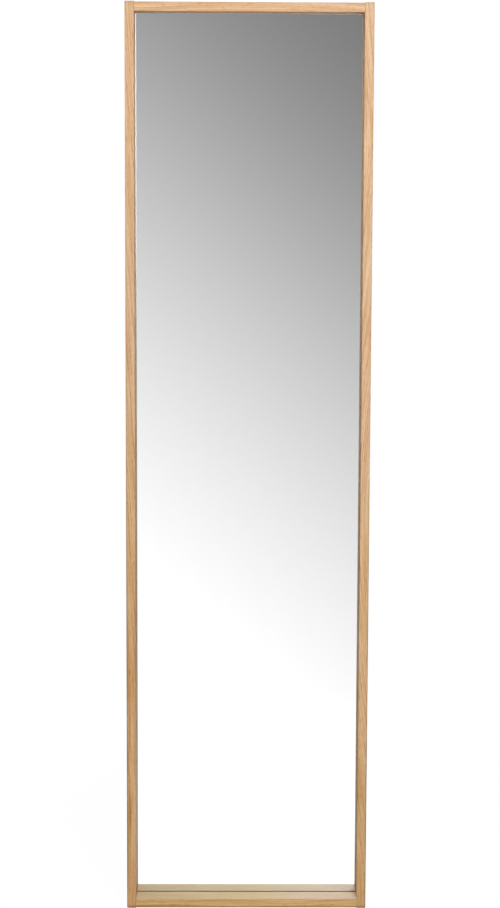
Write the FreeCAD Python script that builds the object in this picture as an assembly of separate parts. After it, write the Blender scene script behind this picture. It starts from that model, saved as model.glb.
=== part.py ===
"""Wall mirror: a deep, narrow oak frame with the glass at the bottom of its recess.

Lengths are millimetres. X runs from left to right as seen from the front, +Y runs into the wall and +Z
is up. The origin lies on the wall plane, midway between the pivots of the two hanger rings.
"""
import FreeCAD, Part
import math
import os

Vector = FreeCAD.Vector

# Oak frame
frame_width = 400.0
stile_length = 1500.0
stile_thickness = 15.0
rail_thickness = 15.0
frame_depth = 45.0
stile_overhang = 1.0
edge_radius = 1.0
rebate_width = 5.0

# Corner dowels
dowel_radius = 3.0
dowel_length = 30.0
dowel_in_stile = 10.0
dowel_chamfer = 0.8
dowel_glue_gap = 0.05
dowel_end_gap = 0.5
dowel_depth_shares = (0.27, 0.73)

# Glass, its coating, the foam tape and the back panel, from front to rear
glass_thickness = 4.0
glass_side_gap = 1.0
glass_arris = 0.4
coating_thickness = 0.2
tape_thickness = 0.8
tape_width = 19.0
tape_end_margin = 60.0
tape_place_shares = (-0.32, 0.0, 0.32)
panel_thickness = 3.0
panel_gap = 0.8
setting_block_height = 1.5
setting_block_length = 30.0
setting_block_share = 0.25

# Rubber bumpers between the frame and the wall
bumper_thickness = 5.0
bumper_radius = 4.5
bumper_rounding = 0.8
bumper_end_distance = 20.0

# Turn buttons and their pan head screws
side_button_count = 4
button_end_distance = 150.0
button_length = 28.0
button_width = 9.0
button_tip_width = 7.0
button_thickness = 1.2
button_edge_radius = 0.3
button_float = 0.1
button_hole_clearance = 0.08
button_screw_radius = 1.75
button_screw_length = 16.0
button_screw_tip = 3.0
button_screw_head_radius = 3.3
button_screw_head_height = 2.1
button_screw_head_rounding = 0.9

# Strap hangers, their rings and their countersunk screws
hanger_drop = 250.0
strap_width = 7.0
strap_length = 40.0
strap_thickness = 1.0
strap_edge_margin = 0.1
knuckle_wall = 1.0
knuckle_lift = 0.3
knuckle_clearance = 0.08
ring_wire_radius = 1.0
ring_corner_radius = 1.4
ring_side_gap = 0.25
ring_arm_length = 3.2
strap_hole_shares = (0.38, 0.78)
hanger_screw_radius = 1.5
hanger_screw_length = 14.0
hanger_screw_tip = 3.0
hanger_screw_clearance = 0.05

# Recess and pilot holes of every screw
cross_width = 0.8
cross_span = 3.0
cross_depth = 0.7
pilot_gap = 0.05
pilot_end_gap = 0.5
cut_overrun = 1.0

# Levels that follow from the sizes above
rear = -bumper_thickness
front = rear - frame_depth
rebate_depth = glass_thickness + coating_thickness + tape_thickness + panel_thickness
glass_front = rear - rebate_depth
coating_front = glass_front + glass_thickness
tape_front = coating_front + coating_thickness
panel_front = rear - panel_thickness

outer_x = frame_width / 2
inner_x = outer_x - stile_thickness
rebate_x = inner_x + rebate_width
strip_x = (outer_x + rebate_x) / 2

stile_top = hanger_drop
stile_bottom = stile_top - stile_length
rail_top = stile_top - stile_overhang
rail_bottom = stile_bottom + stile_overhang
sight_top = rail_top - rail_thickness
sight_bottom = rail_bottom + rail_thickness
rebate_top = sight_top + rebate_width
rebate_bottom = sight_bottom - rebate_width

glass_x = rebate_x - glass_side_gap
glass_bottom = rebate_bottom + setting_block_height
glass_top = rebate_top - glass_side_gap

knuckle_bore_radius = ring_wire_radius + knuckle_clearance
knuckle_radius = knuckle_bore_radius + knuckle_wall
pivot_y = rear + knuckle_lift + knuckle_radius
hanger_x = rebate_x + strap_edge_margin + strap_width / 2
ring_half_width = strap_width / 2 + ring_side_gap + ring_corner_radius
strap_rear = rear + strap_thickness

button_front = rear + button_float
button_rear = button_front + button_thickness
button_head_front = button_rear + button_float
button_screw_in_wood = button_screw_length - (button_head_front - rear)

LEFT = -1
RIGHT = 1
parallel_tolerance = 1e-6


def block(x_range, y_range, z_range):
    """A box between two values along each axis."""
    low = Vector(min(x_range), min(y_range), min(z_range))
    high = Vector(max(x_range), max(y_range), max(z_range))
    size = high - low
    return Part.makeBox(size.x, size.y, size.z, low)


def edges_along(shape, direction):
    """Straight edges of a shape that run along one direction."""
    found = []
    for edge in shape.Edges:
        run = edge.Vertexes[-1].Point - edge.Vertexes[0].Point
        if run.Length > 0 and 1 - abs(run.normalize().dot(direction)) < parallel_tolerance:
            found.append(edge)
    return found


def side_button_heights():
    """Heights of the turn buttons on a stile, evenly spread between its two end distances."""
    lowest = stile_bottom + button_end_distance
    highest = stile_top - button_end_distance
    step = (highest - lowest) / (side_button_count - 1)
    return [lowest + step * index for index in range(side_button_count)]


def button_places():
    """Name, pivot and pointing direction of every turn button."""
    places = []
    for side, name in ((LEFT, "left"), (RIGHT, "right")):
        for index, height in enumerate(side_button_heights()):
            pivot = Vector(side * strip_x, rear, height)
            places.append(("%s_turn_button_%d" % (name, index + 1), pivot, Vector(-side, 0, 0)))
    top_strip_z = (rail_top + rebate_top) / 2
    bottom_strip_z = (rail_bottom + rebate_bottom) / 2
    places.append(("top_turn_button", Vector(0, rear, top_strip_z), Vector(0, 0, -1)))
    places.append(("bottom_turn_button", Vector(0, rear, bottom_strip_z), Vector(0, 0, 1)))
    return places


def hanger_screw_heights():
    """Heights of the two screws of a hanger, below its pivot."""
    return [-share * strap_length for share in strap_hole_shares]


def hanger_screw_places():
    """Where every hanger screw crosses the rear of its stile."""
    return [Vector(side * hanger_x, rear, height) for side in (LEFT, RIGHT) for height in hanger_screw_heights()]


def dowel_places():
    """Side, depth and height of every corner dowel."""
    solid_depth = frame_depth - rebate_depth
    heights = ((rail_top + sight_top) / 2, (rail_bottom + sight_bottom) / 2)
    places = []
    for side in (LEFT, RIGHT):
        for height in heights:
            for share in dowel_depth_shares:
                places.append((side, front + share * solid_depth, height))
    return places


def dowel_hole(side, depth, height, length, radius):
    """A bore along X that starts at the joint face and runs outwards, or inwards for a negative length."""
    start = Vector(side * inner_x, depth, height)
    direction = Vector(side if length > 0 else -side, 0, 0)
    return Part.makeCylinder(radius, abs(length), start, direction)


def pilot_hole(place, radius, depth):
    """A blind hole for a screw, from the frame's rear towards its front."""
    start = place + Vector(0, cut_overrun, 0)
    return Part.makeCylinder(radius + pilot_gap, depth + cut_overrun + pilot_end_gap, start, Vector(0, -1, 0))


def button_screw_holes(board_name):
    """Pilot holes for the turn buttons whose names start with their board's name."""
    return [
        pilot_hole(pivot, button_screw_radius, button_screw_in_wood)
        for name, pivot, _ in button_places() if name.startswith(board_name)]


def hanger_screw_holes(side):
    """Pilot holes for the hanger of one side."""
    in_wood = hanger_screw_length - strap_thickness
    return [
        pilot_hole(place, hanger_screw_radius, in_wood)
        for place in hanger_screw_places() if place.x * side > 0]


def make_stile(side, name):
    """A full-height oak board with a stopped rebate at its rear, dowel bores and pilot holes."""
    board = block((side * inner_x, side * outer_x), (front, rear), (stile_bottom, stile_top))
    board = board.makeFillet(edge_radius, board.Edges)
    cuts = [block(
        (side * (inner_x - cut_overrun), side * rebate_x),
        (glass_front, rear + cut_overrun),
        (rebate_bottom, rebate_top),
    )]
    bore_radius = dowel_radius + dowel_glue_gap
    for dowel_side, depth, height in dowel_places():
        if dowel_side == side:
            cuts.append(dowel_hole(side, depth, height, dowel_in_stile + dowel_end_gap, bore_radius))
    return board.cut(cuts + button_screw_holes(name) + hanger_screw_holes(side))


def make_rail(outer_z, sight_z, rebate_z, name):
    """An oak board between the stiles with a rebate along its rear, dowel bores and a pilot hole."""
    board = block((-inner_x, inner_x), (front, rear), (outer_z, sight_z))
    board = board.makeFillet(edge_radius, edges_along(board, Vector(1, 0, 0)))
    past_sight = sight_z + math.copysign(cut_overrun, sight_z - outer_z)
    long_x = inner_x + cut_overrun
    cuts = [block((-long_x, long_x), (glass_front, rear + cut_overrun), (rebate_z, past_sight))]
    bore_radius = dowel_radius + dowel_glue_gap
    in_rail = dowel_length - dowel_in_stile + dowel_end_gap
    for side, depth, height in dowel_places():
        if abs(height - (outer_z + sight_z) / 2) < rail_thickness:
            cuts.append(dowel_hole(side, depth, height, -in_rail, bore_radius))
    return board.cut(cuts + button_screw_holes(name))


def make_corner_dowels():
    """Round beech dowels with chamfered ends, two in each corner joint."""
    dowels = []
    for side, depth, height in dowel_places():
        start = Vector(side * (inner_x + dowel_in_stile), depth, height)
        dowel = Part.makeCylinder(dowel_radius, dowel_length, start, Vector(-side, 0, 0))
        rims = [edge for edge in dowel.Edges if isinstance(edge.Curve, Part.Circle)]
        dowels.append(dowel.makeChamfer(dowel_chamfer, rims))
    return Part.makeCompound(dowels)


def make_mirror_glass():
    """The glass pane with its edges slightly bevelled."""
    pane = block((-glass_x, glass_x), (glass_front, coating_front), (glass_bottom, glass_top))
    return pane.makeChamfer(glass_arris, pane.Edges)


def make_silver_coating():
    """The reflecting layer with its paint, on the flat of the pane's rear."""
    flat_x = glass_x - glass_arris
    return block(
        (-flat_x, flat_x),
        (coating_front, tape_front),
        (glass_bottom + glass_arris, glass_top - glass_arris),
    )


def make_mounting_tape():
    """Upright strips of foam tape between the coating and the back panel."""
    strips = []
    for share in tape_place_shares:
        middle = share * 2 * glass_x
        strips.append(block(
            (middle - tape_width / 2, middle + tape_width / 2),
            (tape_front, panel_front),
            (glass_bottom + tape_end_margin, glass_top - tape_end_margin),
        ))
    return Part.makeCompound(strips)


def make_back_panel():
    """The thin board that closes the rebate, flush with the frame's rear."""
    panel_x = rebate_x - panel_gap
    return block((-panel_x, panel_x), (panel_front, rear), (rebate_bottom + panel_gap, rebate_top - panel_gap))


def make_setting_blocks():
    """Small rubber blocks in the rebate that carry the lower edge of the glass."""
    blocks = []
    for side in (LEFT, RIGHT):
        middle = side * setting_block_share * 2 * glass_x
        blocks.append(block(
            (middle - setting_block_length / 2, middle + setting_block_length / 2),
            (glass_front, coating_front),
            (rebate_bottom, glass_bottom),
        ))
    return Part.makeCompound(blocks)


def make_wall_bumpers():
    """Round rubber bumpers near the ends of the stiles, rounded where they meet the wall."""
    bumpers = []
    for side in (LEFT, RIGHT):
        for height in (stile_bottom + bumper_end_distance, stile_top - bumper_end_distance):
            bumper = Part.makeCylinder(
                bumper_radius, bumper_thickness, Vector(side * strip_x, rear, height), Vector(0, 1, 0))
            wall_rim = [
                edge for edge in bumper.Edges
                if isinstance(edge.Curve, Part.Circle) and edge.BoundBox.YMin > rear + bumper_thickness / 2]
            bumpers.append(bumper.makeFillet(bumper_rounding, wall_rim))
    return Part.makeCompound(bumpers)


def button_outline():
    """Outline of a turn button that points along +X, with its pivot at the origin: two arcs and two tangents."""
    root_radius = button_width / 2
    tip_radius = button_tip_width / 2
    tip_x = button_length - root_radius - tip_radius
    lean = math.asin((root_radius - tip_radius) / tip_x)
    across = Vector(math.sin(lean), 0, math.cos(lean))
    below = Vector(across.x, 0, -across.z)
    tip = Vector(tip_x, 0, 0)
    root_above, root_below = across * root_radius, below * root_radius
    tip_above, tip_below = tip + across * tip_radius, tip + below * tip_radius
    return Part.Wire([
        Part.Arc(root_below, Vector(-root_radius, 0, 0), root_above).toShape(),
        Part.LineSegment(root_above, tip_above).toShape(),
        Part.Arc(tip_above, tip + Vector(tip_radius, 0, 0), tip_below).toShape(),
        Part.LineSegment(tip_below, root_below).toShape(),
    ])


def make_turn_button(pivot, pointing):
    """A flat steel button, wider at its pivot, with rounded edges and a hole for its screw."""
    plate = Part.Face(button_outline()).extrude(Vector(0, button_thickness, 0))
    rims = [edge for edge in plate.Edges if edge.BoundBox.YLength < button_thickness / 2]
    plate = plate.makeFillet(button_edge_radius, rims)
    hole_radius = button_screw_radius + button_hole_clearance
    through = button_thickness + 2 * cut_overrun
    hole = Part.makeCylinder(hole_radius, through, Vector(0, -cut_overrun, 0), Vector(0, 1, 0))
    plate = plate.cut(hole)
    turn = math.degrees(math.atan2(-pointing.z, pointing.x))
    plate.rotate(Vector(0, 0, 0), Vector(0, 1, 0), turn)
    plate.translate(Vector(pivot.x, button_front, pivot.z))
    return plate


def cross_recess(place):
    """The cross cut into a screw head whose top is at the given place."""
    depth_range = (place.y - cross_depth, place.y + cut_overrun)
    wide = (-cross_width / 2, cross_width / 2)
    long = (-cross_span / 2, cross_span / 2)
    upright = block([place.x + x for x in wide], depth_range, [place.z + z for z in long])
    level = block([place.x + x for x in long], depth_range, [place.z + z for z in wide])
    return upright.fuse(level)


def make_turn_button_screws():
    """Pan head screws that the turn buttons turn on."""
    screws = []
    to_front = Vector(0, -1, 0)
    for _, pivot, _ in button_places():
        seat = Vector(pivot.x, button_head_front, pivot.z)
        head_rear = seat + Vector(0, button_screw_head_height, 0)
        head = Part.makeCylinder(button_screw_head_radius, button_screw_head_height, seat, Vector(0, 1, 0))
        crown = [
            edge for edge in head.Edges
            if isinstance(edge.Curve, Part.Circle) and edge.BoundBox.YMin > seat.y + button_screw_head_height / 2]
        head = head.makeFillet(button_screw_head_rounding, crown)
        shank_length = button_screw_length - button_screw_tip
        shank = Part.makeCylinder(button_screw_radius, shank_length, seat, to_front)
        tip = Part.makeCone(
            button_screw_radius, 0, button_screw_tip, seat + to_front * shank_length, to_front)
        screws.append(head.fuse([shank, tip]).removeSplitter().cut(cross_recess(head_rear)))
    return Part.makeCompound(screws)


def strap_hole(height, clearance):
    """The countersunk hole of a strap: its cone reaches the screw's radius at the wood."""
    rear_radius = hanger_screw_radius + strap_thickness + clearance
    front_radius = hanger_screw_radius + clearance
    start = Vector(0, strap_rear, height)
    return Part.makeCone(rear_radius, front_radius, strap_thickness, start, Vector(0, -1, 0))


def make_hanger_strap(side):
    """A steel strap screwed to the stile, curled at its top round the straight bar of the ring."""
    end_radius = strap_width / 2
    end_z = end_radius - strap_length
    plate = block((-end_radius, end_radius), (rear, strap_rear), (end_z, 0))
    end = Part.makeCylinder(end_radius, strap_thickness, Vector(0, rear, end_z), Vector(0, 1, 0))
    knuckle_start = Vector(-end_radius, pivot_y, 0)
    knuckle = Part.makeCylinder(knuckle_radius, strap_width, knuckle_start, Vector(1, 0, 0))
    strap = plate.fuse([end, knuckle]).removeSplitter()
    bore_start = knuckle_start - Vector(cut_overrun, 0, 0)
    bore = Part.makeCylinder(knuckle_bore_radius, strap_width + 2 * cut_overrun, bore_start, Vector(1, 0, 0))
    holes = [strap_hole(height, hanger_screw_clearance) for height in hanger_screw_heights()]
    strap = strap.cut([bore] + holes)
    strap.translate(Vector(side * hanger_x, 0, 0))
    return strap


def ring_path():
    """Closed centre line of a ring that hangs down from its pivot at the origin."""
    bar_x = ring_half_width - ring_corner_radius
    corner_mid = ring_corner_radius * (1 - math.sqrt(0.5))
    arm_bottom = -ring_corner_radius - ring_arm_length
    lowest = arm_bottom - ring_half_width
    corner_x = ring_half_width - corner_mid
    return Part.Wire([
        Part.LineSegment(Vector(-bar_x, 0, 0), Vector(bar_x, 0, 0)).toShape(),
        Part.Arc(
            Vector(bar_x, 0, 0),
            Vector(corner_x, 0, -corner_mid),
            Vector(ring_half_width, 0, -ring_corner_radius)).toShape(),
        Part.LineSegment(
            Vector(ring_half_width, 0, -ring_corner_radius),
            Vector(ring_half_width, 0, arm_bottom)).toShape(),
        Part.Arc(
            Vector(ring_half_width, 0, arm_bottom),
            Vector(0, 0, lowest),
            Vector(-ring_half_width, 0, arm_bottom)).toShape(),
        Part.LineSegment(
            Vector(-ring_half_width, 0, arm_bottom),
            Vector(-ring_half_width, 0, -ring_corner_radius)).toShape(),
        Part.Arc(
            Vector(-ring_half_width, 0, -ring_corner_radius),
            Vector(-corner_x, 0, -corner_mid),
            Vector(-bar_x, 0, 0)).toShape(),
    ])


def make_hanger_ring(side):
    """A D-shaped ring of round wire whose straight bar lies in the knuckle of the strap."""
    path = ring_path()
    bar_start = path.Edges[0].Vertexes[0].Point
    section = Part.Wire(Part.Circle(bar_start, Vector(1, 0, 0), ring_wire_radius).toShape())
    ring = path.makePipeShell([section], True, False)
    print("ring volume share of its section times its length",
          ring.Volume / (math.pi * ring_wire_radius ** 2 * path.Length))
    ring.translate(Vector(side * hanger_x, pivot_y, 0))
    return ring


def make_hanger_screws():
    """Countersunk screws, flush with the straps."""
    screws = []
    to_front = Vector(0, -1, 0)
    for place in hanger_screw_places():
        top = Vector(place.x, strap_rear, place.z)
        shank_length = hanger_screw_length - strap_thickness - hanger_screw_tip
        head = strap_hole(place.z, 0)
        head.translate(Vector(place.x, 0, 0))
        shank = Part.makeCylinder(hanger_screw_radius, shank_length, place, to_front)
        tip = Part.makeCone(hanger_screw_radius, 0, hanger_screw_tip, place + to_front * shank_length, to_front)
        screws.append(head.fuse([shank, tip]).removeSplitter().cut(cross_recess(top)))
    return Part.makeCompound(screws)


def make_nodes():
    """Every piece of the mirror under its node name."""
    nodes = {
        "left_stile": make_stile(LEFT, "left"),
        "right_stile": make_stile(RIGHT, "right"),
        "top_rail": make_rail(rail_top, sight_top, rebate_top, "top"),
        "bottom_rail": make_rail(rail_bottom, sight_bottom, rebate_bottom, "bottom"),
        "corner_dowels": make_corner_dowels(),
        "mirror_glass": make_mirror_glass(),
        "silver_coating": make_silver_coating(),
        "mounting_tape": make_mounting_tape(),
        "back_panel": make_back_panel(),
        "setting_blocks": make_setting_blocks(),
        "wall_bumpers": make_wall_bumpers(),
        "turn_button_screws": make_turn_button_screws(),
        "left_hanger_strap": make_hanger_strap(LEFT),
        "right_hanger_strap": make_hanger_strap(RIGHT),
        "left_hanger_ring": make_hanger_ring(LEFT),
        "right_hanger_ring": make_hanger_ring(RIGHT),
        "hanger_screws": make_hanger_screws(),
    }
    for name, pivot, pointing in button_places():
        nodes[name] = make_turn_button(pivot, pointing)
    return nodes


os.makedirs("parts", exist_ok=True)
for node_name, shape in make_nodes().items():
    shape.exportStep("parts/%s.step" % node_name)
    bounds = shape.BoundBox
    print("%-22s solids %2d valid %s  x %8.2f %8.2f  y %7.2f %7.2f  z %9.2f %9.2f" % (
        node_name, len(shape.Solids), shape.isValid(),
        bounds.XMin, bounds.XMax, bounds.YMin, bounds.YMax, bounds.ZMin, bounds.ZMax))
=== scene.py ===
"""Looks of the wall mirror: oak boards, a silvered pane, the hardboard back and its small hardware."""
import math

import bmesh
import bpy
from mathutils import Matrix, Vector


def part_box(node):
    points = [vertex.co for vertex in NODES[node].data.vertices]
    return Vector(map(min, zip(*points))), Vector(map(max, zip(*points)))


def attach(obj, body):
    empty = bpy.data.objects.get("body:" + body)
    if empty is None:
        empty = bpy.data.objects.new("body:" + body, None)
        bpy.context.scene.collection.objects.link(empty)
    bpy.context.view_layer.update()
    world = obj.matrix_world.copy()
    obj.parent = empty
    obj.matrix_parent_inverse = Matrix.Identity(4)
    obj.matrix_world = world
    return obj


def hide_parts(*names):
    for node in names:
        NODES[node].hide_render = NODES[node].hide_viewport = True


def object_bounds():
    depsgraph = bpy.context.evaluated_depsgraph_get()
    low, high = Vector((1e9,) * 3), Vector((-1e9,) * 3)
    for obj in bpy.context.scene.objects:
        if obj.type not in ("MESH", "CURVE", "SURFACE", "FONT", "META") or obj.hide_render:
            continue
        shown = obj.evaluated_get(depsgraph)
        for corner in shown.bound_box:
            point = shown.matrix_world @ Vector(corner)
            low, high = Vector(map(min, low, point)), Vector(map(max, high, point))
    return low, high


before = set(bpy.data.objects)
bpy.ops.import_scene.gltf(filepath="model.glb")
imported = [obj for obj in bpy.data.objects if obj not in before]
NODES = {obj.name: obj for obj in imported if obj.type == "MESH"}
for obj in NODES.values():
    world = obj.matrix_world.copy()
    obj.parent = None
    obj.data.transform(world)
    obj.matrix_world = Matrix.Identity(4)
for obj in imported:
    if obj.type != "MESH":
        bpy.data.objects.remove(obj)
cad_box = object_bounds()

MM = 0.001

# Camera: where the photograph was taken from, its focal length in the photograph's pixels, and how far
# the photograph's middle lies from the lens's axis
CAMERA_PLACE = (-0.0100, -3.8527, 0.0420)
CAMERA_TURN_DEG = (82.5313, -0.2932, -0.7759)
FOCAL_PIXELS = 2343.2
CAMERA_SHIFT = (-0.0275, -0.0154)
PHOTO_LONG_SIDE = 908
SENSOR_WIDTH = 36.0
CAMERA_REACH = 100.0

# Studio, in metres and watts: a tall soft key on the right, one overhead, a weak fill on the left and a
# soft light behind. Two strips with grids reach into the recess: one skims the foot's upper face, one
# the upper right corner.
LIGHT_AIM = (0.0, -0.03, -0.30)
KEY = {"place": (0.64, -2.30, 0.38), "size": (0.5, 1.5), "power": 33.0}
OVERHEAD = {"place": (0.15, -2.00, 1.95), "size": (1.6, 1.2), "power": 37.0}
FILL = {"place": (-2.2, -2.6, -0.2), "size": (1.6, 1.6), "power": 4.0}
REAR = {"place": (-1.6, 2.8, 0.9), "size": (1.6, 1.6), "power": 70.0}
FOOT_STRIP = {
    "place": (0.04, -0.28, 0.60), "size": (0.36, 0.10), "power": 0.056, "aim": (0.05, -0.03, -1.24),
    "spread_deg": 14.0}
SIDE_STRIP = {
    "place": (-1.10, -0.15, 0.30), "size": (0.10, 0.30), "power": 0.26, "aim": (0.185, -0.03, 0.12),
    "spread_deg": 50.0}
AMBIENT = 0.19

# Floor, in metres: it fades out between two shares of its reach, and the mirror shows less of it. Its white
# paint lights the object. The camera and the mirror see a darker paint that glows, white but for shadows.
FLOOR_RADIUS = 3.2
FLOOR_REACH_IN_MIRROR = 1.7
FLOOR_FADE = (0.35, 0.95)
FLOOR_SIDES = 96
FLOOR_PAINT = "F4F4F4"
FLOOR_SEEN = "4B4B4B"
FLOOR_GLOW = 0.95

# What the mirror shows of the studio: white below, grey towards the top right, and a bright ceiling high
# up. A slope is a direction's rise, and a share of how far it points to the right is added to it.
WHITE_IN_MIRROR = 1.12
GREY_SLOPE, WHITE_SLOPE = 0.1315, -0.3195
GREY_DARK, GREY_LIGHT = 0.192, 1.20
GREY_SIDE_SHARE = 0.81
GREY_SIDE_REACH = 0.12
CEILING_START, CEILING_END = 0.08, 0.30
CEILING_LIGHT = 1.5

# To both sides that studio turns light grey: how far a direction points aside, then metres on the floor
ASIDE_DIRECTION = (0.20, 0.60)
ASIDE_ON_FLOOR = (0.30, 1.20)
ASIDE_SHARE = 0.62

# Float glass takes a little red out of each reflection; the studio that it shows is as much warmer
GLASS_TINT = (0.95, 1.0, 1.015)
SEEN_THROUGH_GLASS = tuple(1 / share for share in GLASS_TINT) + (1.0,)
WHITE = (1.0, 1.0, 1.0, 1.0)


def linear(code):
    """An sRGB hex colour as a linear RGBA colour."""
    channels = [int(code[i:i + 2], 16) / 255 for i in (0, 2, 4)]
    return tuple(c / 12.92 if c <= 0.04045 else ((c + 0.055) / 1.055) ** 2.4 for c in channels) + (1.0,)


def add(tree, kind, links=None, **settings):
    """Add a node. A link's value is another node, one of its sockets, or a plain value for the input.

    A Mix node's input 0 is its share, 2 and 3 are its two numbers, and 6 and 7 its two colours."""
    made = tree.nodes.new(kind)
    for name, value in settings.items():
        setattr(made, name, value)
    for key, value in (links or {}).items():
        if isinstance(value, bpy.types.Node):
            value = [socket for socket in value.outputs if socket.enabled][0]
        if isinstance(value, bpy.types.NodeSocket):
            tree.links.new(value, made.inputs[key])
        else:
            made.inputs[key].default_value = value
    return made


def empty_material(name):
    """A material with nothing in its tree yet."""
    material = bpy.data.materials.new(name)
    material.use_nodes = True
    material.node_tree.nodes.clear()
    return material, material.node_tree


def give_finish(tree, inputs):
    """End a material with a Principled BSDF that has these inputs."""
    shader = add(tree, "ShaderNodeBsdfPrincipled", inputs)
    add(tree, "ShaderNodeOutputMaterial", {"Surface": shader})


def millimetres(tree, turn_deg=0.0):
    """Object coordinates in mm, turned about Y."""
    place = add(tree, "ShaderNodeTexCoord").outputs["Object"]
    turned = add(tree, "ShaderNodeVectorRotate", {
        "Vector": place, "Rotation": (0, math.radians(turn_deg), 0)}, rotation_type="EULER_XYZ")
    return add(tree, "ShaderNodeVectorMath", {0: turned, "Scale": 1 / MM}, operation="SCALE")


def in_cells(tree, place, cell):
    """A place in mm, counted in cells of so many mm along each axis."""
    return add(tree, "ShaderNodeVectorMath", {0: place, 1: [1 / side for side in cell]},
               operation="MULTIPLY")


def wear(node_name, material):
    """Put a material on a CAD node."""
    slots = NODES[node_name].data.materials
    slots.clear()
    slots.append(material)


# Oak: each board has its own palest tone, and these tints are laid over it, one after the other

OAK_STREAK = "EBDECC"
OAK_BLUSH = "FFF7F5"
OAK_OLIVE = "F0F2D6"
OAK_FOX = "E6CBA6"
OAK_EARLY = "E4D2BA"
OAK_PORE = "CCAB86"
# Painted light: paler colours for faces that look up, the second one for their right end
OAK_TOP_LIGHT = "D8C19C"
OAK_TOP_LIGHT_RIGHT = "E3D0BA"
OAK_END_GRAIN = "D8C4AC"
# Painted shade: a grey laid along the outer front edges, stronger towards the foot
OAK_EDGE_SHADE = "9E9EA2"

# Oak, in mm: its growth rings, the sway of the trunk, and how wide and long each mark is. Real fibres are
# finer; these are as wide as they have to be to show.
RING_WIDTH = 2.9
TRUNK_SWAY = 12.0
SWAY_CELL = (70, 70, 240)
STREAK_CELL = (2.5, 2.5, 170)
HUE_CELL = (7.5, 7.5, 330)
FIBRE_CELL = (0.55, 0.55, 48)
PORE_CELL = (0.5, 0.5, 9)
CLOUD_CELL = (30, 30, 160)
PORE_DEPTH = 0.02

# Oak, in mm: how far clouds shift the change from upper to lower tone and half the length that it takes,
# where the painted light on faces that look up turns paler, where the foot turns darker, and how wide the
# painted shade along the outer front edge is. It is wider at the frame's ends, where a distance counts
# only in part.
CLOUD_SHIFT = 500.0
TONE_REACH = 400.0
TOP_LIGHT_TURN = (-20.0, 150.0)
FOOT_HEIGHTS = (135.0, 40.0)
EDGE_SHADE_WIDTH = 2.6
EDGE_SHADE_AT_ENDS = 0.42


def log_places(tree, place, turn_deg, heart, bow):
    """Places in a board's log, in mm with the grain along Z: as sawn, and with the trunk's bow and sway."""
    log = add(tree, "ShaderNodeMapping", {
        "Vector": place, "Scale": (1 / MM, 1 / MM, 1 / MM), "Location": heart,
        "Rotation": [math.radians(angle) for angle in turn_deg]})
    depth, length, start = bow
    along = add(tree, "ShaderNodeSeparateXYZ", {"Vector": log}).outputs["Z"]
    along = add(tree, "ShaderNodeMath", {0: along, 1: start}, operation="SUBTRACT")
    wave = add(tree, "ShaderNodeMath", {0: along, 1: math.tau / length}, operation="MULTIPLY")
    wave = add(tree, "ShaderNodeMath", {0: wave}, operation="COSINE")
    wave = add(tree, "ShaderNodeMath", {0: wave, 1: -depth}, operation="MULTIPLY")
    wave = add(tree, "ShaderNodeCombineXYZ", {"X": wave})
    bowed = add(tree, "ShaderNodeVectorMath", {0: log, 1: wave}, operation="ADD")
    sway = add(tree, "ShaderNodeTexNoise", {
        "Vector": in_cells(tree, log, SWAY_CELL), "Scale": 1.0, "Detail": 1.4, "Roughness": 0.4})
    bent = add(tree, "ShaderNodeVectorMath", {
        0: sway.outputs["Color"], 1: (TRUNK_SWAY, TRUNK_SWAY, 0), 2: bowed}, operation="MULTIPLY_ADD")
    return log, bent


def growth_rings(tree, bent):
    """Each growth ring's own tone, and how near a point is to the pores at the ring's start."""
    across = add(tree, "ShaderNodeVectorMath", {0: bent, 1: (1 / RING_WIDTH, 1 / RING_WIDTH, 0)},
                 operation="MULTIPLY")
    rings = add(tree, "ShaderNodeVectorMath", {0: across}, operation="LENGTH").outputs["Value"]
    number = add(tree, "ShaderNodeMath", {0: rings}, operation="FLOOR")
    tone = add(tree, "ShaderNodeTexWhiteNoise", {"W": number}, noise_dimensions="1D").outputs["Value"]
    phase = add(tree, "ShaderNodeMath", {0: rings}, operation="FRACT")
    early = add(tree, "ShaderNodeMapRange", {"Value": phase, "From Max": 0.6, "To Min": 1.0, "To Max": 0.0},
                interpolation_type="SMOOTHSTEP")
    return tone, early


def open_pores(tree, bent, early):
    """Short dark dashes, most of them at the start of a ring."""
    dashes = add(tree, "ShaderNodeTexNoise", {
        "Vector": in_cells(tree, bent, PORE_CELL), "Scale": 1.0, "Detail": 0.0})
    dashes = add(tree, "ShaderNodeMapRange", {"Value": dashes, "From Min": 0.58, "From Max": 0.70},
                 interpolation_type="SMOOTHSTEP")
    near = add(tree, "ShaderNodeMath", {0: early, 1: 0.8, 2: 0.15}, operation="MULTIPLY_ADD")
    return add(tree, "ShaderNodeMath", {0: dashes, 1: near}, operation="MULTIPLY")


def lower_share(tree, log, height, middle):
    """The share of the board's lower tone, with cloudy borders."""
    cloud = add(tree, "ShaderNodeTexNoise", {
        "Vector": in_cells(tree, log, CLOUD_CELL), "Scale": 1.0, "Detail": 1.0})
    height = add(tree, "ShaderNodeMath", {0: cloud, 1: CLOUD_SHIFT * MM, 2: height},
                 operation="MULTIPLY_ADD")
    centre = middle + CLOUD_SHIFT / 2
    return add(tree, "ShaderNodeMapRange", {
        "Value": height, "From Min": (centre + TONE_REACH) * MM, "From Max": (centre - TONE_REACH) * MM},
        interpolation_type="SMOOTHSTEP")


def foot_share(tree, height, foot):
    """The share of darker heartwood over the last stretch above the foot."""
    start, full = [cad_box[0].z + level * MM for level in FOOT_HEIGHTS]
    return add(tree, "ShaderNodeMapRange", {
        "Value": height, "From Min": start, "From Max": full, "To Max": foot},
        interpolation_type="SMOOTHSTEP")


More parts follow.
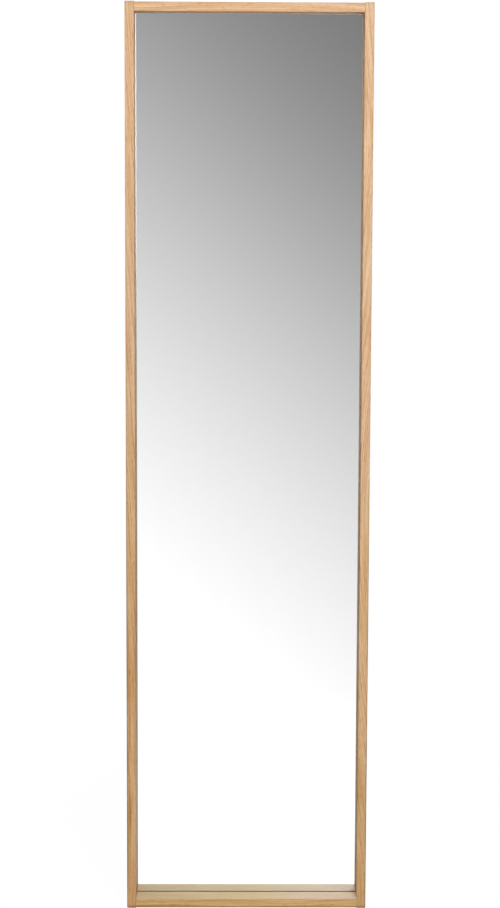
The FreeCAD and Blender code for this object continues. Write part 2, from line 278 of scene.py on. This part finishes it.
def painted_top_light(tree, across, upward, top_face_light):
    """Painted light that makes a face that looks up paler: its share and its colour, paler and pinker
    towards the right.
    """
    share = add(tree, "ShaderNodeMapRange", {
        "Value": upward, "From Min": 0.6, "From Max": 0.95, "To Max": top_face_light}, interpolation_type="SMOOTHSTEP")
    start, full = [level * MM for level in TOP_LIGHT_TURN]
    right = add(tree, "ShaderNodeMapRange", {"Value": across, "From Min": start, "From Max": full},
                interpolation_type="SMOOTHSTEP")
    colour = add(tree, "ShaderNodeMix", {0: right, 6: linear(OAK_TOP_LIGHT), 7: linear(OAK_TOP_LIGHT_RIGHT)},
                 data_type="RGBA")
    return share, colour.outputs[2]


def end_grain_share(tree, normal, turn_deg):
    """How squarely a face cuts the grain."""
    facing = add(tree, "ShaderNodeVectorRotate", {
        "Vector": normal, "Rotation": [math.radians(angle) for angle in turn_deg]},
        rotation_type="EULER_XYZ")
    facing = add(tree, "ShaderNodeVectorMath", {0: facing}, operation="ABSOLUTE")
    facing = add(tree, "ShaderNodeSeparateXYZ", {"Vector": facing}).outputs["Z"]
    return add(tree, "ShaderNodeMapRange", {"Value": facing, "From Min": 0.55, "From Max": 0.9},
               interpolation_type="SMOOTHSTEP")


def painted_edge_shade(tree, place, low):
    """Painted shade along the frame's outer front edge: how near a point is to it, more so towards the lower
    end.
    """
    corner, far_corner = cad_box
    middle = (corner + far_corner) / 2
    half = (far_corner - corner) / 2
    off = add(tree, "ShaderNodeVectorMath", {0: place, 1: (middle.x, corner.y, middle.z)},
              operation="SUBTRACT")
    off = add(tree, "ShaderNodeVectorMath", {0: off}, operation="ABSOLUTE")
    off = add(tree, "ShaderNodeSeparateXYZ", {"Vector": off}).outputs
    side = add(tree, "ShaderNodeMath", {0: half.x, 1: off["X"]}, operation="SUBTRACT")
    end = add(tree, "ShaderNodeMath", {0: half.z, 1: off["Z"]}, operation="SUBTRACT")
    end = add(tree, "ShaderNodeMath", {0: end, 1: EDGE_SHADE_AT_ENDS}, operation="MULTIPLY")
    inward = add(tree, "ShaderNodeMath", {0: side, 1: end}, operation="MINIMUM")
    inward = add(tree, "ShaderNodeMath", {0: inward, 1: off["Y"]}, operation="MAXIMUM")
    near = add(tree, "ShaderNodeMapRange", {
        "Value": inward, "From Max": EDGE_SHADE_WIDTH * MM, "To Min": 1.0, "To Max": 0.0},
        interpolation_type="SMOOTHSTEP")
    strength = add(tree, "ShaderNodeMapRange", {"Value": low, "To Min": 0.2, "To Max": 1.0})
    return add(tree, "ShaderNodeMath", {0: strength, 1: near}, operation="MULTIPLY")


def oak(name, turn_deg, heart, bow, upper, lower, middle, figure, fox, roughness, top_face_light=0.0, foot=0.0):
    """Solid oak, planed and lacquered satin: long soft streaks, open pores in each ring, grey painted edge
    shade.

    turn_deg brings the grain onto Z. heart is how far the log's heart lies from the origin, in mm. bow is
    how far the trunk bows, over which length and from which height, in mm. upper and lower are the board's
    palest tone at its two ends, and middle is the height between them in mm. figure is the strength of the
    streaks. fox is the share of fox-brown heartwood in the lower half, top_face_light that of a paler
    painted light on a face that looks up, and foot that of darker heartwood just above the foot."""
    material, tree = empty_material(name)
    surface = add(tree, "ShaderNodeTexCoord").outputs
    place = surface["Object"]
    axes = add(tree, "ShaderNodeSeparateXYZ", {"Vector": place}).outputs
    log, bent = log_places(tree, place, turn_deg, heart, bow)
    ring_tone, early = growth_rings(tree, bent)
    pores = open_pores(tree, bent, early)
    low = lower_share(tree, log, axes["Z"], middle)

    # Long streaks first, then slow changes of hue: blush all along, olive and fox-brown lower down
    streaks = add(tree, "ShaderNodeTexNoise", {
        "Vector": in_cells(tree, bent, STREAK_CELL), "Scale": 1.0, "Detail": 2.2})
    share = add(tree, "ShaderNodeMapRange", {
        "Value": streaks, "From Min": 0.36, "From Max": 0.64, "To Max": figure},
        interpolation_type="SMOOTHSTEP")
    layers = [(share, linear(OAK_STREAK), "MULTIPLY")]
    hues = add(tree, "ShaderNodeTexNoise", {
        "Vector": in_cells(tree, bent, HUE_CELL), "Scale": 1.0, "Detail": 1.0})
    hues = add(tree, "ShaderNodeSeparateColor", {"Color": hues.outputs["Color"]}).outputs
    for channel, start, full, scales, code in (
            ("Red", 0.48, 0.66, [], OAK_BLUSH),
            ("Green", 0.48, 0.66, [low], OAK_OLIVE),
            ("Blue", 0.49, 0.60, [low, fox], OAK_FOX)):
        share = add(tree, "ShaderNodeMapRange", {
            "Value": hues[channel], "From Min": start, "From Max": full}, interpolation_type="SMOOTHSTEP")
        for scale in scales:
            share = add(tree, "ShaderNodeMath", {0: share, 1: scale}, operation="MULTIPLY")
        layers.append((share, linear(code), "MULTIPLY"))
    layers.append((foot_share(tree, axes["Z"], foot), linear(OAK_FOX), "MULTIPLY"))

    # The porous start of each ring in its own tone, the pores, and painted light over them that makes faces
    # looking up paler
    share = add(tree, "ShaderNodeMath", {0: ring_tone, 1: early}, operation="MULTIPLY")
    share = add(tree, "ShaderNodeMath", {0: share, 1: figure}, operation="MULTIPLY")
    layers.append((share, linear(OAK_EARLY), "MULTIPLY"))
    layers.append((pores, linear(OAK_PORE), "MULTIPLY"))
    upward = add(tree, "ShaderNodeSeparateXYZ", {"Vector": surface["Normal"]}).outputs["Z"]
    layers.append((*painted_top_light(tree, axes["X"], upward, top_face_light), "MIX"))

    # End grain soaks up more lacquer; painted shade makes the rounded outer edges greyer towards the foot
    cut = end_grain_share(tree, surface["Normal"], turn_deg)
    layers.append((cut, linear(OAK_END_GRAIN), "MULTIPLY"))
    layers.append((painted_edge_shade(tree, place, low), linear(OAK_EDGE_SHADE), "MULTIPLY"))

    colour = add(tree, "ShaderNodeMix", {0: low, 6: linear(upper), 7: linear(lower)}, data_type="RGBA")
    for share, laid, blend in layers:
        colour = add(tree, "ShaderNodeMix", {0: share, 6: colour, 7: laid}, data_type="RGBA",
                     blend_type=blend)

    # Fine fibres vary the brightness and stand up a little; the pores are dull and sunk
    fibres = add(tree, "ShaderNodeTexNoise", {
        "Vector": in_cells(tree, bent, FIBRE_CELL), "Scale": 1.0, "Detail": 2.0})
    fine = add(tree, "ShaderNodeMapRange", {
        "Value": fibres, "From Min": 0.3, "From Max": 0.7, "To Min": 0.93, "To Max": 1.06})
    colour = add(tree, "ShaderNodeVectorMath", {0: colour, "Scale": fine}, operation="SCALE")
    rough = add(tree, "ShaderNodeMath", {0: streaks, 1: 0.04, 2: roughness}, operation="MULTIPLY_ADD")
    rough = add(tree, "ShaderNodeMath", {0: pores, 1: 0.2, 2: rough}, operation="MULTIPLY_ADD")
    relief = add(tree, "ShaderNodeMath", {0: fibres, 1: 0.35}, operation="MULTIPLY")
    relief = add(tree, "ShaderNodeMath", {0: relief, 1: pores}, operation="SUBTRACT")
    bump = add(tree, "ShaderNodeBump", {"Height": relief, "Distance": PORE_DEPTH * MM, "Strength": 0.5})
    give_finish(tree, {"Base Color": colour, "Roughness": rough, "Normal": bump, "IOR": 1.5})
    return material


def dress_boards():
    """Give every board of the frame oak with its own grain."""
    wear("left_stile", oak(
        "lacquered_oak_left_stile", turn_deg=(0.8, 0.3, 0.0), heart=(320, -95, 0), bow=(-30, 3160, 600),
        upper="D1AE86", lower="CDAB7C", middle=-740, figure=0.8, fox=0.8, roughness=0.46, foot=0.5))
    wear("right_stile", oak(
        "lacquered_oak_right_stile", turn_deg=(-0.7, 0.2, 0.0), heart=(-260, 70, 900), bow=(33, 1340, 950),
        upper="D6B590", lower="D2B184", middle=-790, figure=1.0, fox=0.5, roughness=0.58))
    wear("top_rail", oak(
        "lacquered_oak_top_rail", turn_deg=(0.0, -90.7, 8.0), heart=(-40, -150, 300), bow=(3, 600, 0),
        upper="D4AF88", lower="D4AF88", middle=-650, figure=0.8, fox=0.3, roughness=0.55))
    wear("bottom_rail", oak(
        "lacquered_oak_bottom_rail", turn_deg=(0.0, -88.8, -12.0), heart=(90, 120, -500), bow=(3, 500, 80),
        upper="CFAE7C", lower="CFAE7C", middle=-650, figure=0.8, fox=0.4, roughness=0.80, top_face_light=0.8))


# Glass and silver: the room between the pane and what it lies against, its ground bevel, and how squarely
# a face of it looks to the front or rear where it isn't part of the bevel

FACE_GAP = 0.04 * MM
PANE_BEVEL = 0.4 * MM
SQUARE_ON = 0.99


def float_glass():
    """Clear float glass, fire-polished on both faces: sharp reflections and no colour over 4 mm."""
    material, tree = empty_material("float_glass")
    give_finish(tree, {"Base Color": WHITE, "Roughness": 0.0, "IOR": 1.52, "Transmission Weight": 1.0})
    return material


def ground_glass():
    """The ground edge of a pane: fine wheel marks make it frosted, and its depth makes it deep green."""
    material, tree = empty_material("ground_glass_edge")
    marks = add(tree, "ShaderNodeTexNoise", {
        "Vector": in_cells(tree, millimetres(tree), (0.6, 0.6, 0.6)), "Scale": 1.0, "Detail": 2.0})
    colour = add(tree, "ShaderNodeMix", {0: marks, 6: linear("36473C"), 7: linear("56685C")},
                 data_type="RGBA")
    give_finish(tree, {"Base Color": colour, "Roughness": 0.5})
    return material


def silver():
    """Silver deposited on the glass, as smooth as the pane: the glass before it cools what it reflects."""
    material, tree = empty_material("deposited_silver")
    bright = [own * share for own, share in zip(linear("FAFAFA"), GLASS_TINT)]
    give_finish(tree, {"Base Color": (*bright, 1.0), "Metallic": 1.0, "Roughness": 0.0})
    return material


def new_piece(name, mesh, materials):
    """An object from a finished bmesh."""
    data = bpy.data.meshes.new(name)
    mesh.to_mesh(data)
    mesh.free()
    for material in materials:
        data.materials.append(material)
    piece = bpy.data.objects.new(name, data)
    bpy.context.collection.objects.link(piece)
    return piece


def make_pane():
    """The glass pane: ground bevels all round, silver on its rear face."""
    low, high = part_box("mirror_glass")
    low.y += FACE_GAP
    high.y -= FACE_GAP
    mesh = bmesh.new()
    bmesh.ops.create_cube(mesh, size=1.0)
    bmesh.ops.scale(mesh, vec=high - low, verts=mesh.verts)
    bmesh.ops.translate(mesh, vec=(low + high) / 2, verts=mesh.verts)
    bmesh.ops.bevel(mesh, geom=mesh.edges, offset=PANE_BEVEL, segments=1, profile=0.5, affect="EDGES",
                    material=-1)
    mesh.normal_update()
    glass, edge, rear = range(3)
    for face in mesh.faces:
        if face.normal.y > SQUARE_ON:
            face.material_index = rear
        elif face.normal.y < -SQUARE_ON:
            face.material_index = glass
        else:
            face.material_index = edge
    pane = new_piece("silvered_pane", mesh, [float_glass(), ground_glass(), silver()])
    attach(pane, "root")
    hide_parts("mirror_glass")


# Back and hardware: every cell and depth is in mm. Real fibres and grit are finer; these are as coarse as
# they have to be to show.

def hardboard():
    """Tempered hardboard, pressed smooth: brown felted fibres that cross, cloudy patches, bark specks."""
    material, tree = empty_material("tempered_hardboard")
    place = millimetres(tree)
    clouds = add(tree, "ShaderNodeTexNoise", {
        "Vector": in_cells(tree, place, (38, 38, 38)), "Scale": 1.0, "Detail": 3.0, "Roughness": 0.6})
    upright, level = [add(tree, "ShaderNodeTexNoise", {
        "Vector": in_cells(tree, millimetres(tree, turn_deg), cell), "Scale": 1.0, "Detail": 2.0})
        for turn_deg, cell in ((34, (0.8, 0.8, 7)), (21, (7, 0.8, 0.8)))]
    fibres = add(tree, "ShaderNodeMath", {0: upright, 1: level}, operation="MAXIMUM")
    specks = add(tree, "ShaderNodeTexVoronoi", {"Vector": in_cells(tree, place, (5, 5, 5)), "Scale": 1.0})
    specks = add(tree, "ShaderNodeMapRange", {
        "Value": specks, "From Min": 0.09, "From Max": 0.16, "To Min": 0.65, "To Max": 0.0})
    pale = add(tree, "ShaderNodeMapRange", {
        "Value": fibres, "From Min": 0.50, "From Max": 0.75, "To Max": 0.36})
    colour = add(tree, "ShaderNodeMix", {0: clouds, 6: linear("74502F"), 7: linear("A0754B")},
                 data_type="RGBA")
    colour = add(tree, "ShaderNodeMix", {0: pale, 6: colour, 7: linear("B98E62")}, data_type="RGBA")
    colour = add(tree, "ShaderNodeMix", {0: specks, 6: colour, 7: linear("4A301C")}, data_type="RGBA")
    rough = add(tree, "ShaderNodeMapRange", {"Value": clouds, "To Min": 0.42, "To Max": 0.66})
    bump = add(tree, "ShaderNodeBump", {"Height": fibres, "Distance": 0.06 * MM, "Strength": 0.7})
    give_finish(tree, {"Base Color": colour, "Roughness": rough, "Normal": bump})
    return material


def plated_steel(name, cool, warm, smoothest, roughest):
    """Steel, stamped or drawn, then plated: a silvery film, faint blue and straw clouds, tumbled dents."""
    material, tree = empty_material(name)
    place = millimetres(tree)
    clouds = add(tree, "ShaderNodeTexNoise", {
        "Vector": in_cells(tree, place, (6, 6, 6)), "Scale": 1.0, "Detail": 2.0, "Distortion": 0.6})
    dents = add(tree, "ShaderNodeTexVoronoi", {
        "Vector": in_cells(tree, place, (0.9, 0.9, 0.9)), "Scale": 1.0}, feature="SMOOTH_F1")
    grain = add(tree, "ShaderNodeTexNoise", {
        "Vector": in_cells(tree, place, (0.4, 0.4, 2.4)), "Scale": 1.0, "Detail": 2.0})
    colour = add(tree, "ShaderNodeMix", {0: clouds, 6: linear(cool), 7: linear(warm)}, data_type="RGBA")
    rough = add(tree, "ShaderNodeMapRange", {"Value": grain, "To Min": smoothest, "To Max": roughest})
    bump = add(tree, "ShaderNodeBump", {"Height": dents, "Distance": 0.02 * MM, "Strength": 0.6})
    give_finish(tree, {"Base Color": colour, "Metallic": 1.0, "Roughness": rough, "Normal": bump})
    return material


def moulded_rubber():
    """Black rubber, moulded: an even matt skin with fine grit from the mould and a grey bloom in patches."""
    material, tree = empty_material("moulded_rubber")
    place = millimetres(tree)
    grit = add(tree, "ShaderNodeTexNoise", {
        "Vector": in_cells(tree, place, (0.35, 0.35, 0.35)), "Scale": 1.0, "Detail": 2.0})
    bloom = add(tree, "ShaderNodeTexNoise", {"Vector": in_cells(tree, place, (4, 4, 4)), "Scale": 1.0})
    bloom = add(tree, "ShaderNodeMapRange", {"Value": bloom, "From Min": 0.45, "From Max": 0.75})
    colour = add(tree, "ShaderNodeMix", {0: bloom, 6: linear("18181A"), 7: linear("313134")},
                 data_type="RGBA")
    bump = add(tree, "ShaderNodeBump", {"Height": grit, "Distance": 0.04 * MM, "Strength": 0.7})
    give_finish(tree, {"Base Color": colour, "Roughness": 0.72, "Normal": bump})
    return material


def grained(name, dark, light, cell, rough, relief):
    """A finish for the pieces inside the frame: one grain of a real size in colour and relief."""
    material, tree = empty_material(name)
    grain = add(tree, "ShaderNodeTexNoise", {
        "Vector": in_cells(tree, millimetres(tree), cell), "Scale": 1.0, "Detail": 4.0})
    colour = add(tree, "ShaderNodeMix", {0: grain, 6: linear(dark), 7: linear(light)}, data_type="RGBA")
    bump = add(tree, "ShaderNodeBump", {"Height": grain, "Distance": relief * MM, "Strength": 0.7})
    give_finish(tree, {"Base Color": colour, "Roughness": rough, "Normal": bump})
    return material


def dress_back():
    """Hardboard, rubber, plated steel and foam for everything behind the glass."""
    zinc = plated_steel(
        "zinc_plated_steel", cool="A3ABB8", warm="C6C1B2", smoothest=0.34, roughest=0.50)
    wire = plated_steel(
        "nickel_plated_wire", cool="B6B1A6", warm="CEC8BB", smoothest=0.18, roughest=0.30)
    screws = plated_steel(
        "zinc_plated_screws", cool="9AA1AC", warm="BDB8AA", smoothest=0.32, roughest=0.48)
    rubber = moulded_rubber()
    wear("back_panel", hardboard())
    # Closed-cell foam: white, with tiny cells
    wear("mounting_tape", grained(
        "closed_cell_foam", dark="D9D9D3", light="F2F2EE", cell=(0.4, 0.4, 0.4), rough=0.85, relief=0.06))
    # Turned beech: pinkish tan with grain along X
    wear("corner_dowels", grained(
        "turned_beech", dark="C29C72", light="DDBB93", cell=(12, 0.6, 0.6), rough=0.6, relief=0.04))
    # Grey paint that protects the silver
    wear("silver_coating", grained(
        "mirror_backing_paint", dark="6F7478", light="7E8387", cell=(0.8, 0.8, 0.8), rough=0.6,
        relief=0.02))
    wear("setting_blocks", rubber)
    wear("wall_bumpers", rubber)
    wear("turn_button_screws", screws)
    wear("hanger_screws", screws)
    for side in ("left", "right"):
        wear(side + "_hanger_strap", zinc)
        wear(side + "_hanger_ring", wire)
    for node_name in NODES:
        if "turn_button" in node_name and node_name != "turn_button_screws":
            wear(node_name, zinc)


# Studio

def make_camera():
    """The photograph's viewpoint."""
    data = bpy.data.cameras.new("camera")
    data.sensor_width = SENSOR_WIDTH
    data.lens = FOCAL_PIXELS / PHOTO_LONG_SIDE * SENSOR_WIDTH
    data.shift_x, data.shift_y = CAMERA_SHIFT
    data.clip_end = CAMERA_REACH
    camera = bpy.data.objects.new("camera", data)
    camera.location = CAMERA_PLACE
    camera.rotation_euler = [math.radians(angle) for angle in CAMERA_TURN_DEG]
    bpy.context.collection.objects.link(camera)
    bpy.context.scene.camera = camera


def make_lamp(name, place, size, power, aim=LIGHT_AIM, spread_deg=180.0):
    """A soft box that neither the camera nor the silvered pane shows. A small spread is its grid."""
    data = bpy.data.lights.new(name, "AREA")
    data.shape = "RECTANGLE"
    data.size, data.size_y = size
    data.energy = power
    data.spread = math.radians(spread_deg)
    lamp = bpy.data.objects.new(name, data)
    lamp.location = place
    lamp.rotation_euler = (Vector(aim) - Vector(place)).to_track_quat("-Z", "Y").to_euler()
    lamp.visible_camera = False
    lamp.visible_transmission = False
    bpy.context.collection.objects.link(lamp)
    return lamp


def make_lamps():
    """The studio's six lamps. The plated steel shows the pale studio, not the lamp behind."""
    make_lamp("key", **KEY)
    make_lamp("overhead", **OVERHEAD)
    make_lamp("fill", **FILL)
    rear = make_lamp("rear", **REAR)
    rear.visible_glossy = False
    make_lamp("foot_strip", **FOOT_STRIP)
    make_lamp("side_strip", **SIDE_STRIP)


def studio_rays(tree):
    """Whether a ray comes from the camera, whether from a mirror, and white as that ray sees it."""
    rays = add(tree, "ShaderNodeLightPath").outputs
    mirrored = add(tree, "ShaderNodeMath", {0: rays["Is Glossy Ray"], 1: rays["Is Transmission Ray"]},
                   operation="MAXIMUM")
    white = add(tree, "ShaderNodeMix", {0: rays["Is Transmission Ray"], 6: WHITE, 7: SEEN_THROUGH_GLASS},
                data_type="RGBA")
    return rays["Is Camera Ray"], mirrored, white


def aside_grey(tree, across, reach):
    """1 in the middle of the studio, less to both sides."""
    start, full = reach
    across = add(tree, "ShaderNodeMath", {0: across}, operation="ABSOLUTE")
    return add(tree, "ShaderNodeMapRange", {
        "Value": across, "From Min": start, "From Max": full, "To Min": 1.0, "To Max": ASIDE_SHARE},
        interpolation_type="SMOOTHSTEP")


def make_world():
    """White for the camera, the studio's grey gradient for reflections, an even light for all else."""
    world = bpy.data.worlds.new("studio")
    bpy.context.scene.world = world
    world.use_nodes = True
    tree = world.node_tree
    tree.nodes.clear()
    direction = add(tree, "ShaderNodeTexCoord").outputs["Generated"]
    parts = add(tree, "ShaderNodeSeparateXYZ", {"Vector": direction}).outputs
    side = add(tree, "ShaderNodeMath", {0: parts["X"], 1: GREY_SIDE_REACH}, operation="MINIMUM")
    side = add(tree, "ShaderNodeMath", {0: side, 1: -GREY_SIDE_REACH}, operation="MAXIMUM")
    slope = add(tree, "ShaderNodeMath", {0: side, 1: GREY_SIDE_SHARE, 2: parts["Z"]},
                operation="MULTIPLY_ADD")
    grey = add(tree, "ShaderNodeMapRange", {
        "Value": slope, "From Min": GREY_SLOPE, "From Max": WHITE_SLOPE,
        "To Min": GREY_DARK, "To Max": GREY_LIGHT}, interpolation_type="SMOOTHSTEP")
    grey = add(tree, "ShaderNodeMath", {0: grey, 1: WHITE_IN_MIRROR}, operation="MINIMUM")
    ceiling = add(tree, "ShaderNodeMapRange", {
        "Value": parts["Z"], "From Min": CEILING_START, "From Max": CEILING_END, "To Max": CEILING_LIGHT},
        interpolation_type="SMOOTHSTEP")
    grey = add(tree, "ShaderNodeMath", {0: grey, 1: ceiling}, operation="MAXIMUM")
    aside = aside_grey(tree, parts["X"], ASIDE_DIRECTION)
    grey = add(tree, "ShaderNodeMath", {0: grey, 1: aside}, operation="MULTIPLY")
    by_camera, mirrored, white = studio_rays(tree)
    level = add(tree, "ShaderNodeMix", {0: mirrored, 2: AMBIENT, 3: grey}, data_type="FLOAT")
    level = add(tree, "ShaderNodeMix", {0: by_camera, 2: level, 3: 1.0}, data_type="FLOAT")
    back = add(tree, "ShaderNodeBackground", {"Color": white, "Strength": level})
    add(tree, "ShaderNodeOutputWorld", {"Surface": back})


def floor_paint():
    """White paint that keeps the object's shadow and fades into the white round it."""
    material, tree = empty_material("studio_floor")
    by_camera, mirrored, white = studio_rays(tree)
    place = add(tree, "ShaderNodeTexCoord").outputs["Object"]
    flat = add(tree, "ShaderNodeVectorMath", {0: place, 1: (1, 1, 0)}, operation="MULTIPLY")
    distance = add(tree, "ShaderNodeVectorMath", {0: flat}, operation="LENGTH").outputs["Value"]
    reach = add(tree, "ShaderNodeMapRange", {
        "Value": mirrored, "To Min": FLOOR_RADIUS, "To Max": FLOOR_REACH_IN_MIRROR})
    fade = add(tree, "ShaderNodeMath", {0: distance, 1: reach}, operation="DIVIDE")
    start, full = FLOOR_FADE
    fade = add(tree, "ShaderNodeMapRange", {"Value": fade, "From Min": start, "From Max": full},
               interpolation_type="SMOOTHSTEP")
    seen = add(tree, "ShaderNodeMath", {0: mirrored, 1: by_camera}, operation="MAXIMUM")
    paint = add(tree, "ShaderNodeMix", {0: seen, 6: linear(FLOOR_PAINT), 7: linear(FLOOR_SEEN)},
                data_type="RGBA")
    pale = add(tree, "ShaderNodeBsdfDiffuse", {"Color": paint})
    across = add(tree, "ShaderNodeSeparateXYZ", {"Vector": place}).outputs["X"]
    aside = aside_grey(tree, across, ASIDE_ON_FLOOR)
    aside = add(tree, "ShaderNodeMath", {0: aside, 1: WHITE_IN_MIRROR}, operation="MULTIPLY")
    glow = add(tree, "ShaderNodeMapRange", {"Value": mirrored, "To Min": FLOOR_GLOW, "To Max": aside})
    glow = add(tree, "ShaderNodeMath", {0: seen, 1: glow}, operation="MULTIPLY")
    glow = add(tree, "ShaderNodeEmission", {"Color": white, "Strength": glow})
    lit = add(tree, "ShaderNodeAddShader", {0: pale, 1: glow})
    clear = add(tree, "ShaderNodeBsdfTransparent")
    mixed = add(tree, "ShaderNodeMixShader", {0: fade, 1: lit, 2: clear})
    add(tree, "ShaderNodeOutputMaterial", {"Surface": mixed})
    return material


def make_floor():
    """A plain round floor under the mirror."""
    low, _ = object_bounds()
    mesh = bmesh.new()
    bmesh.ops.create_circle(mesh, cap_ends=True, segments=FLOOR_SIDES, radius=FLOOR_RADIUS)
    bmesh.ops.translate(mesh, vec=(0, 0, low.z), verts=mesh.verts)
    floor = new_piece("studio_floor", mesh, [floor_paint()])


make_camera()
make_world()
make_lamps()
make_floor()
dress_boards()
make_pane()
dress_back()

bpy.context.scene.view_settings.view_transform = "Standard"
